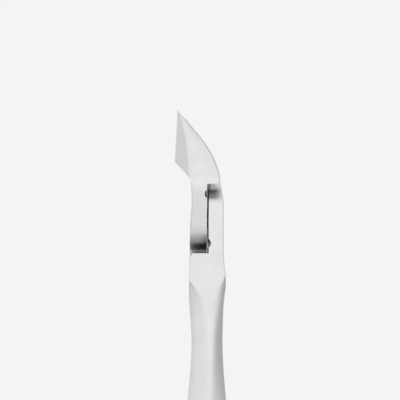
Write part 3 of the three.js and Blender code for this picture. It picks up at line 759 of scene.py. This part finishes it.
def bearing_land(form):
    """What the back lever keeps on its lap face: a disc, with a tongue on either side that
    ends in an arc short of the front lever's shoulder. The outline is the disc's circle where
    it is wider than the tongues, and otherwise the larger circle's arc between them."""
    joint = form.joint
    low = form.lap_middle - joint.lap_gap / 2 + joint.land_gap
    disc, reach = form.radius - joint.land_margin, form.shoulder - joint.shoulder_gap
    half = joint.neck_land / 2
    leaves = math.acos(half / reach)
    meets = math.acos(min(1.0, half / disc))
    arc = np.linspace(leaves, math.pi - leaves, 40)
    side = np.linspace(math.pi - meets, math.pi + meets, 40)
    upper = np.stack([reach * np.cos(arc), reach * np.sin(arc)], -1)
    left = np.stack([disc * np.cos(side), disc * np.sin(side)], -1)
    outline = np.concatenate([upper, left, -upper, -left])
    s, z = outline.T
    rings = [np.stack([s, np.full_like(s, y), z], -1) for y in (low, 0)]
    return skin("bearing_land", turn(rings, -1, form.angle))


def bore(name, radius, low, high):
    """Cylinder on the pivot axis between two depths, as a cutter."""
    profile = [(radius, low), (radius, high)]
    return lathe(name, profile, (0, 1, 0), (0, 0, 0))


class SpringForm:
    """Where the springs, their rivets and the handles meet, in the front lever's plane."""

    def __init__(self, form, sizes):
        one = lambda curve, z: float(curve(np.array([z]))[0])
        self.form, self.sizes = form, sizes
        self.foot_z = -sizes.foot_drop
        self.y = (one(form.front, self.foot_z) + one(form.back, self.foot_z)) / 2
        self.inner_s = one(form.half_width, self.foot_z) - one(form.centre, self.foot_z)
        near = 2 * MM
        rise = one(form.centre, self.foot_z - near) - one(form.centre, self.foot_z + near)
        self.slope = rise / (2 * near)
        self.foot_way = np.array([-self.slope, -1]) / math.hypot(self.slope, 1)
        normal = np.array([-self.foot_way[1], self.foot_way[0]])
        lift = sizes.seat_gap + sizes.thickness / 2
        self.foot = np.array([self.inner_s, self.foot_z]) + lift * normal
        self.foot_half = 3 * MM
        a = form.angle
        spin = np.array([[math.cos(a), -math.sin(a)], [math.sin(a), math.cos(a)]])
        self.crossing = spin @ np.array([0, -sizes.crossing_drop])
        # The leaf's direction, across and up, where it crosses the other one.
        way = np.array([0.72, -0.69])
        self.crossing_way = spin @ (way / np.linalg.norm(way))
        self.bend_start = self.foot + self.foot_half * self.foot_way
        self.tail = 3.2 * MM

    def blade(self, t):
        """Cubic Bezier curve from the foot's lower end, along the foot's own direction, to the
        crossing."""
        reach = np.linalg.norm(self.crossing - self.bend_start)
        p0, p3 = self.bend_start, self.crossing
        leave, arrive = 0.36 * reach, 0.42 * reach
        p1 = p0 + leave * self.foot_way
        p2 = p3 - arrive * self.crossing_way
        t = np.asarray(t)[:, None]
        u = 1 - t
        return u**3 * p0 + 3 * u * u * t * p1 + 3 * u * t * t * p2 + t**3 * p3

    def line(self):
        """Centreline of a leaf: the straight foot, the bowed blade and the straight tail."""
        foot = self.foot + np.linspace(-1, 1, 13)[:-1, None] * self.foot_half * self.foot_way
        tail = self.crossing + np.linspace(0, 1, 15)[1:, None] * self.tail * self.crossing_way
        return np.concatenate([foot, self.blade(np.linspace(0, 1, 110)), tail])

    def placed(self, point, side):
        """A point of the front lever's plane, at the springs' depth, in the row frame."""
        return turn([point[0], self.y, point[1]], side, self.form.angle)


class NIPPER_OT_stage(bpy.types.Operator):
    """Makes the pale floor, the studio's even light and the camera"""

    bl_idname = "nipper.stage"
    bl_label = "Stage"

    def execute(self, context):
        finish = context.scene.nipper.finish
        scene = context.scene
        scene.view_settings.view_transform = "Standard"
        make_camera(scene)
        make_floor(finish)
        make_studio(scene, finish)
        return {"FINISHED"}


def make_camera(scene):
    """Long lens level with the joint, square to the nipper's side."""
    distance, seen_height = 0.9, 70.6 * MM
    aim_y, aim_z = -4.15 * MM, 3.27 * MM
    lens = bpy.data.cameras.new("side_view")
    lens.sensor_width = 36.0
    lens.lens = lens.sensor_width * distance / seen_height
    lens.clip_start, lens.clip_end = 0.05, 20.0
    camera = bpy.data.objects.new("side_view", lens)
    camera.location = (distance, aim_y, aim_z)
    camera.rotation_euler = (math.pi / 2, 0, math.pi / 2)
    scene.collection.objects.link(camera)
    scene.camera = camera


def make_floor(finish):
    """Wide matt disc under the handles. The steel doesn't reflect it, because the lower half
    of the studio stands for what it would show."""
    radius, thickness = 1.2, 0.01
    angle = np.linspace(0, 2 * np.pi, 128, endpoint=False)
    ring = radius * np.stack([np.cos(angle), np.sin(angle), np.zeros_like(angle)], -1)
    floor = skin("pale_floor", [ring + (0, 0, FLOOR_Z - thickness), ring + (0, 0, FLOOR_Z)])
    material = bpy.data.materials.new("matt_pale_paper")
    tree = blank_tree(material)
    place = add(tree, "TexCoord", out="Object")
    fibre = add(tree, "TexNoise", {"Vector": place, "Scale": 900.0, "Detail": 2.0}, out="Fac")
    mix = {"Factor": fibre, "A": rgba(finish.floor, 0.985), "B": rgba(finish.floor)}
    tone = add(tree, "Mix", mix, data_type="RGBA")
    shader = add(tree, "BsdfPrincipled", {"Base Color": tone, "Roughness": 0.9})
    add(tree, "OutputMaterial", {"Surface": shader})
    floor.data.materials.append(material)
    floor.visible_glossy = False


# Broad soft lights of the studio, as (direction towards the light, strength). The strength
# falls off from its direction as the cosine of the angle to the fourth power. A negative
# strength is a dark card.
STUDIO_FALL = 4
STUDIO_BASE = 1.01
STUDIO = [
    ((1, 0, 0), 0.55),
    ((1, -1, 1), 0.48),
    ((1, 1, 1), 0.4),
    ((0, -1, 0), 0.35),
    ((1, 1, -1), 0.19),
    ((1, -1, -1), -0.08),
    ((-1, -1, 0), 0.3),
    ((-1, 0, 0), 0.1),
    ((-1, 1, 0), -0.2),
    ((-1, 1, -1), -0.25),
    ((-1, -1, -1), -0.48),
    ((0, 0, -1), -0.75),
]


def make_studio(scene, finish):
    """World light that the steel reflects: an even base plus broad lobes. Seen directly, the
    background is one even pale tone."""
    scene.world = bpy.data.worlds.new("soft_studio")
    tree = blank_tree(scene.world)
    way = add(tree, "TexCoord", out="Generated")
    total = STUDIO_BASE
    for direction, strength in STUDIO:
        unit = np.array(direction) / np.linalg.norm(direction)
        facing = add(tree, "VectorMath", (way, unit.tolist()), operation="DOT_PRODUCT")
        ahead = add(tree, "Math", (facing, 0.0), operation="MAXIMUM")
        lobe = add(tree, "Math", (ahead, STUDIO_FALL), operation="POWER")
        total = add(tree, "Math", (lobe, strength, total), operation="MULTIPLY_ADD")
    dimmest = 0.02
    grey = add(tree, "Math", (total, dimmest), operation="MAXIMUM")
    direct = add(tree, "LightPath", out="Is Camera Ray")
    lit = add(tree, "Background", {"Strength": grey})
    plain = add(tree, "Background", {"Color": rgba(finish.backdrop)})
    chosen = add(tree, "MixShader", (direct, lit, plain))
    add(tree, "OutputWorld", {"Surface": chosen})


class NIPPER_OT_levers(bpy.types.Operator):
    """Makes both levers: jaw, lap and handle in one forging"""

    bl_idname = "nipper.levers"
    bl_label = "Levers"

    def execute(self, context):
        settings = context.scene.nipper
        form = LeverForm(settings)
        materials = [
            satin_ground_stainless(settings.finish),
            bevel_ground_stainless(settings.finish),
            lap_milled_stainless(settings.finish),
            satin_stainless_with_painted_shade(settings.finish),
        ]
        rings = form.rings(form.levels())
        for is_front in (True, False):
            make_lever(settings, form, rings, is_front, materials)
        return {"FINISHED"}


def make_lever(settings, form, rings, is_front, materials):
    """One lever: the skin over its sections, less the other lap's space, the screw's hole and
    the rivet's hole."""
    side, which = (1, "front") if is_front else (-1, "back")
    joint, screw, spring = settings.joint, settings.screw, SpringForm(form, settings.spring)
    lever = skin(f"{which}_lever_forging", turn(rings, side, form.angle))
    cutter, rods = lap_cutter(form, is_front)
    front_face = float(form.front(np.zeros(1))[0])
    if is_front:
        seat = front_face + screw.sink + screw.head_depth + joint.hole_gap
        holes = [
            bore("shank_hole", screw.shank + joint.hole_gap, -12 * MM, 6 * MM),
            bore("head_seat", screw.head + joint.hole_gap, -12 * MM, seat),
        ]
    else:
        cut(cutter, bearing_land(form))
        holes = [bore("thread_hole", screw.thread + joint.hole_gap, -6 * MM, 6 * MM)]
    depth = settings.spring.rivet_depth + joint.hole_gap
    centre = spring.placed((spring.inner_s, spring.foot_z), side)
    way = turn([1, 0, 0], side, form.angle)
    radius = settings.spring.rivet_radius + joint.hole_gap
    holes.append(lathe("rivet_hole", [(radius, -depth), (radius, depth)], way, centre, 48))
    cut(lever, cutter, *rods, *holes)
    for material in materials:
        lever.data.materials.append(material)
    set_lever_faces(lever, form, side)
    smooth(lever)
    own = unturn(points_of(lever.data), side, form.angle)
    middle = form.centre(own[:, 2]) * np.clip(-own[:, 2] / form.shoulder, 0, 1)
    set_grain(lever, np.stack([own[:, 0] + middle, own[:, 1], own[:, 2]], -1))
    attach(lever, f"{which}_lever")
    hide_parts(f"{which}_lever")


def set_lever_faces(lever, form, side):
    """Gives each face its finish. Milled, with painted shade in its crevices: the lap faces, the
    holes and the relief groove on the nipper's +X side. Ground: the bevel, the heel, the hollow
    and the shoulders. Painted shade on satin: the front lap's end, and the chamfer of the back
    lever's shoulder under it. Satin: the rest."""
    mesh = lever.data
    count = len(mesh.polygons)
    centre, normal = np.empty(count * 3, np.float32), np.empty(count * 3, np.float32)
    mesh.polygons.foreach_get("center", centre)
    mesh.polygons.foreach_get("normal", normal)
    s, y, z = unturn(centre.reshape(-1, 3), side, form.angle).T
    ns, ny, nz = unturn(normal.reshape(-1, 3), side, form.angle).T
    near, x = 0.02 * MM, side * s
    off = abs(y - form.lap_middle)
    between = abs(z) < form.shoulder + near
    lap_face = between & (off < form.joint.lap_gap / 2 + near)
    groove = (off < 0.9 * MM) & (abs(side * z - form.groove_height) < MM)
    groove &= (x > form.joint.neck_land / 2 - 0.1 * MM) & (x < form.radius - 0.1 * MM)
    hole = (np.hypot(s, z) < 3 * MM) & (abs(ny) < 0.5)
    shoulder = (abs(abs(z) - form.shoulder) < 1.5 * near) & (abs(nz) > 0.9)
    bevel = (z > form.heel_bottom) & (y < form.ridge(z) - near)
    inner = (z > form.shoulder + 0.1 * MM) & (ns < -0.5)
    lap_end = between & (z < -0.4 * form.radius) & (s > 0) & (side > 0)
    chamfer = (side < 0) & (abs(z + form.shoulder + 0.6 * MM) < 0.6 * MM) & (nz > 0.2)
    chamfer &= (ny < -0.2) & (y < form.front(z) + 0.6 * MM)
    satin, ground, milled, painted_shade = range(4)
    index = np.full(count, satin, np.int32)
    index[bevel | inner | shoulder] = ground
    # The front lap's end and the chamfer under it get the satin steel with painted shade.
    index[lap_end | chamfer] = painted_shade
    index[lap_face | groove | hole] = milled
    mesh.polygons.foreach_set("material_index", index)


class NIPPER_OT_pivot_screw(bpy.types.Operator):
    """Makes the flush slotted pivot screw"""

    bl_idname = "nipper.pivot_screw"
    bl_label = "Pivot screw"

    def execute(self, context):
        settings = context.scene.nipper
        form, screw, joint = LeverForm(settings), settings.screw, settings.joint
        top = float(form.front(np.zeros(1))[0]) + screw.sink
        shank_end = form.lap_middle - joint.lap_gap / 2 + joint.land_gap / 2
        bevel, end_bevel, pole = 0.15 * MM, 0.1 * MM, 0.02 * MM
        angle = np.linspace(0, np.pi / 2, 6)
        rim = [
            (screw.head - bevel + bevel * math.sin(a), top + bevel - bevel * math.cos(a))
            for a in angle
        ]
        faces = [(r, top) for r in np.linspace(pole, screw.head - bevel, 8)[:-1]]
        lower = [
            (screw.head, top + screw.head_depth),
            (screw.shank, top + screw.head_depth),
            (screw.shank, shank_end),
            (screw.thread, shank_end),
            (screw.thread, -end_bevel),
            (screw.thread - end_bevel, 0),
        ]
        end = [(r, 0) for r in np.linspace(screw.thread - end_bevel, pole, 6)[1:]]
        body = lathe("pivot_screw_turned", faces + rim + lower + end, (0, 1, 0), (0, 0, 0), 128)
        half, deep = screw.slot_width / 2, screw.slot_depth
        outline = [
            (top - deep, -half),
            (top + deep, -half),
            (top + deep, half),
            (top - deep, half),
        ]
        cut(body, prism("slot", outline, -1, form.angle, -2 * screw.head, 2 * screw.head))
        smooth(body)
        body.data.materials.append(
            turned_stainless("turned_stainless_screw", settings.finish, (0, 1, 0), (0, 0, 0))
        )
        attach(body, "back_lever")
        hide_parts("pivot_screw")
        return {"FINISHED"}


class NIPPER_OT_leaf_springs(bpy.types.Operator):
    """Makes the two interlocking leaf springs"""

    bl_idname = "nipper.leaf_springs"
    bl_label = "Leaf springs"

    def execute(self, context):
        settings = context.scene.nipper
        form = LeverForm(settings)
        spring = SpringForm(form, settings.spring)
        material = rolled_spring_steel(settings.finish)
        for is_front in (True, False):
            make_leaf(settings, form, spring, is_front, material)
        return {"FINISHED"}


def make_leaf(settings, form, spring, is_front, material):
    """One leaf: a strip carried along the centreline. Its width and thickness taper evenly
    with the length run, the back leaf narrows to its tongue before the crossing, and the
    edges are rounded: the section is a superellipse, cosine and sine raised to a small
    power."""
    side, which = (1, "front") if is_front else (-1, "back")
    sizes = settings.spring
    narrow_from, narrow_over, end_round = 4.2 * MM, 1.2 * MM, 0.9 * MM
    line = spring.line()
    along = np.concatenate([[0], np.cumsum(np.linalg.norm(np.diff(line, axis=0), axis=1))])
    share = along / along[-1]
    way = np.gradient(line, along, axis=0)
    way /= np.linalg.norm(way, axis=1)[:, None]
    across = np.stack([-way[:, 1], way[:, 0]], -1)
    half_width = sizes.width * (1 - 0.24 * share) / 2
    half_thick = sizes.thickness * (1 - 0.25 * share) / 2
    crossing = along[-1] - spring.tail
    if not is_front:
        tongue = np.clip((along - crossing + narrow_from) / narrow_over, 0, 1)
        half_width = blend(half_width, sizes.tongue / 2, tongue * tongue * (3 - 2 * tongue))
    nose = np.clip((along[-1] - along) / end_round, 0, 1)
    heel = np.clip(along / end_round, 0, 1)
    half_width = half_width * np.sqrt(np.clip(1 - (1 - nose) ** 2, 0.04, 1))
    half_width = half_width * np.sqrt(np.clip(1 - (1 - heel) ** 2, 0.16, 1))
    angle = np.linspace(0, 2 * np.pi, 48, endpoint=False)
    square = lambda v: np.sign(v) * np.abs(v) ** 0.28
    out, up = square(np.cos(angle)), square(np.sin(angle))
    plane = line[:, None] + (half_thick[:, None] * up)[..., None] * across[:, None]
    depth = spring.y + half_width[:, None] * out
    rings = np.stack([plane[..., 0], depth, plane[..., 1]], -1)
    leaf = skin(f"{which}_spring_leaf", turn(rings, side, form.angle))
    hole = sizes.rivet_radius + settings.joint.hole_gap
    start = spring.placed((spring.inner_s, spring.foot_z), side)
    across = turn([1, 0, 0], side, form.angle)
    cutters = [lathe("leaf_hole", [(hole, -4 * MM), (hole, 4 * MM)], across, start, 48)]
    if is_front:
        cutters.append(window_cutter(spring, sizes, side, form.angle))
    cut(leaf, *cutters)
    leaf.data.materials.append(material)
    smooth(leaf)
    set_leaf_grain(leaf, line, along, side, form.angle)
    bend_to = spring.blade(np.array([0.55]))[0]
    tuple(spring.placed(spring.bend_start, side))
    tuple(spring.placed(bend_to, side))
    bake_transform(leaf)
    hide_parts(f"{which}_leaf_spring")


def window_cutter(spring, sizes, side, angle):
    """Oblong bar with round ends that opens the window, square to the leaf at the crossing.
    Its outline is a stadium in the leaf's own plane."""
    half_wide = sizes.tongue / 2 + sizes.window_gap
    half_long = 2 * MM
    sweep = np.linspace(-np.pi / 2, np.pi / 2, 13)
    end = half_long - half_wide + half_wide * np.cos(sweep)
    long = np.concatenate([end, -end])
    wide = half_wide * np.concatenate([np.sin(sweep), -np.sin(sweep)])
    way = spring.crossing_way
    normal = np.array([-way[1], way[0]])
    reach = 2 * MM
    rings = []
    for lift in (-reach, reach):
        plane = spring.crossing + long[:, None] * way + lift * normal
        rings.append(np.stack([plane[:, 0], spring.y + wide, plane[:, 1]], -1))
    return skin("window_cutter", turn(rings, side, angle))


def set_leaf_grain(leaf, line, along, side, angle):
    """Each point's place along the leaf is that of the nearest point of the centreline."""
    own = unturn(points_of(leaf.data), side, angle)
    flat = own[:, [0, 2]]
    nearest = np.argmin(((flat[:, None] - line[None]) ** 2).sum(-1), axis=1)
    lift = np.linalg.norm(flat - line[nearest], axis=1)
    set_grain(leaf, np.stack([lift, own[:, 1], along[nearest]], -1))


class NIPPER_OT_spring_rivets(bpy.types.Operator):
    """Makes the two domed rivets that hold the leaves"""

    bl_idname = "nipper.spring_rivets"
    bl_label = "Spring rivets"

    def execute(self, context):
        settings = context.scene.nipper
        form = LeverForm(settings)
        spring = SpringForm(form, settings.spring)
        sizes = settings.spring
        head_gap, dome, pole = 0.75 * MM, 0.65 * MM, 0.02 * MM
        leaf_top = sizes.seat_gap * math.hypot(1, spring.slope) + 1.25 * sizes.thickness
        seat = leaf_top + head_gap
        sweep = np.linspace(0, np.pi / 2, 14)[:-1]
        shank = [(r, -sizes.rivet_depth) for r in (pole, sizes.rivet_radius)]
        shank += [(sizes.rivet_radius, seat), (sizes.rivet_head, seat)]
        head = [(sizes.rivet_head * math.cos(a), seat + dome * math.sin(a)) for a in sweep]
        profile = shank + head + [(pole, seat + dome)]
        for side, which in ((1, "front"), (-1, "back")):
            centre = spring.placed((spring.inner_s, spring.foot_z), side)
            way = turn([1, 0, 0], side, form.angle)
            rivet = lathe(f"{which}_rivet_turned", profile, way, centre, 64)
            smooth(rivet)
            name = f"turned_stainless_{which}_rivet"
            rivet.data.materials.append(
                turned_stainless(name, settings.finish, tuple(way), tuple(centre))
            )
            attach(rivet, f"{which}_lever")
            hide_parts(f"{which}_spring_rivet")
        return {"FINISHED"}


class NIPPER_PT_panel(bpy.types.Panel):
    """Lists the nipper's operators in the sidebar"""

    bl_label = "Cuticle nipper"
    bl_idname = "NIPPER_PT_panel"
    bl_space_type = "VIEW_3D"
    bl_region_type = "UI"
    bl_category = "Nipper"

    def draw(self, context):
        for operator in OPERATORS:
            self.layout.operator(operator.bl_idname)
        for part in ("joint", "jaw", "handle", "spring", "screw", "finish"):
            box = self.layout.box()
            box.label(text=part.capitalize())
            group = getattr(context.scene.nipper, part)
            for name in group.bl_rna.properties.keys():
                if name not in ("rna_type", "name"):
                    box.prop(group, name)


OPERATORS = (
    NIPPER_OT_stage,
    NIPPER_OT_levers,
    NIPPER_OT_pivot_screw,
    NIPPER_OT_leaf_springs,
    NIPPER_OT_spring_rivets,
)
CLASSES = (
    JointSizes,
    JawSizes,
    HandleSizes,
    SpringSizes,
    ScrewSizes,
    Finishes,
    NipperSettings,
    *OPERATORS,
    NIPPER_PT_panel,
)


def register():
    for one in CLASSES:
        bpy.utils.register_class(one)
    bpy.types.Scene.nipper = PointerProperty(type=NipperSettings)


def unregister():
    del bpy.types.Scene.nipper
    for one in reversed(CLASSES):
        bpy.utils.unregister_class(one)


def main():
    """Makes everything in order."""
    register()
    bpy.ops.nipper.stage()
    bpy.ops.nipper.levers()
    bpy.ops.nipper.pivot_screw()
    bpy.ops.nipper.leaf_springs()
    bpy.ops.nipper.spring_rivets()


if __name__ == "__main__":
    main()
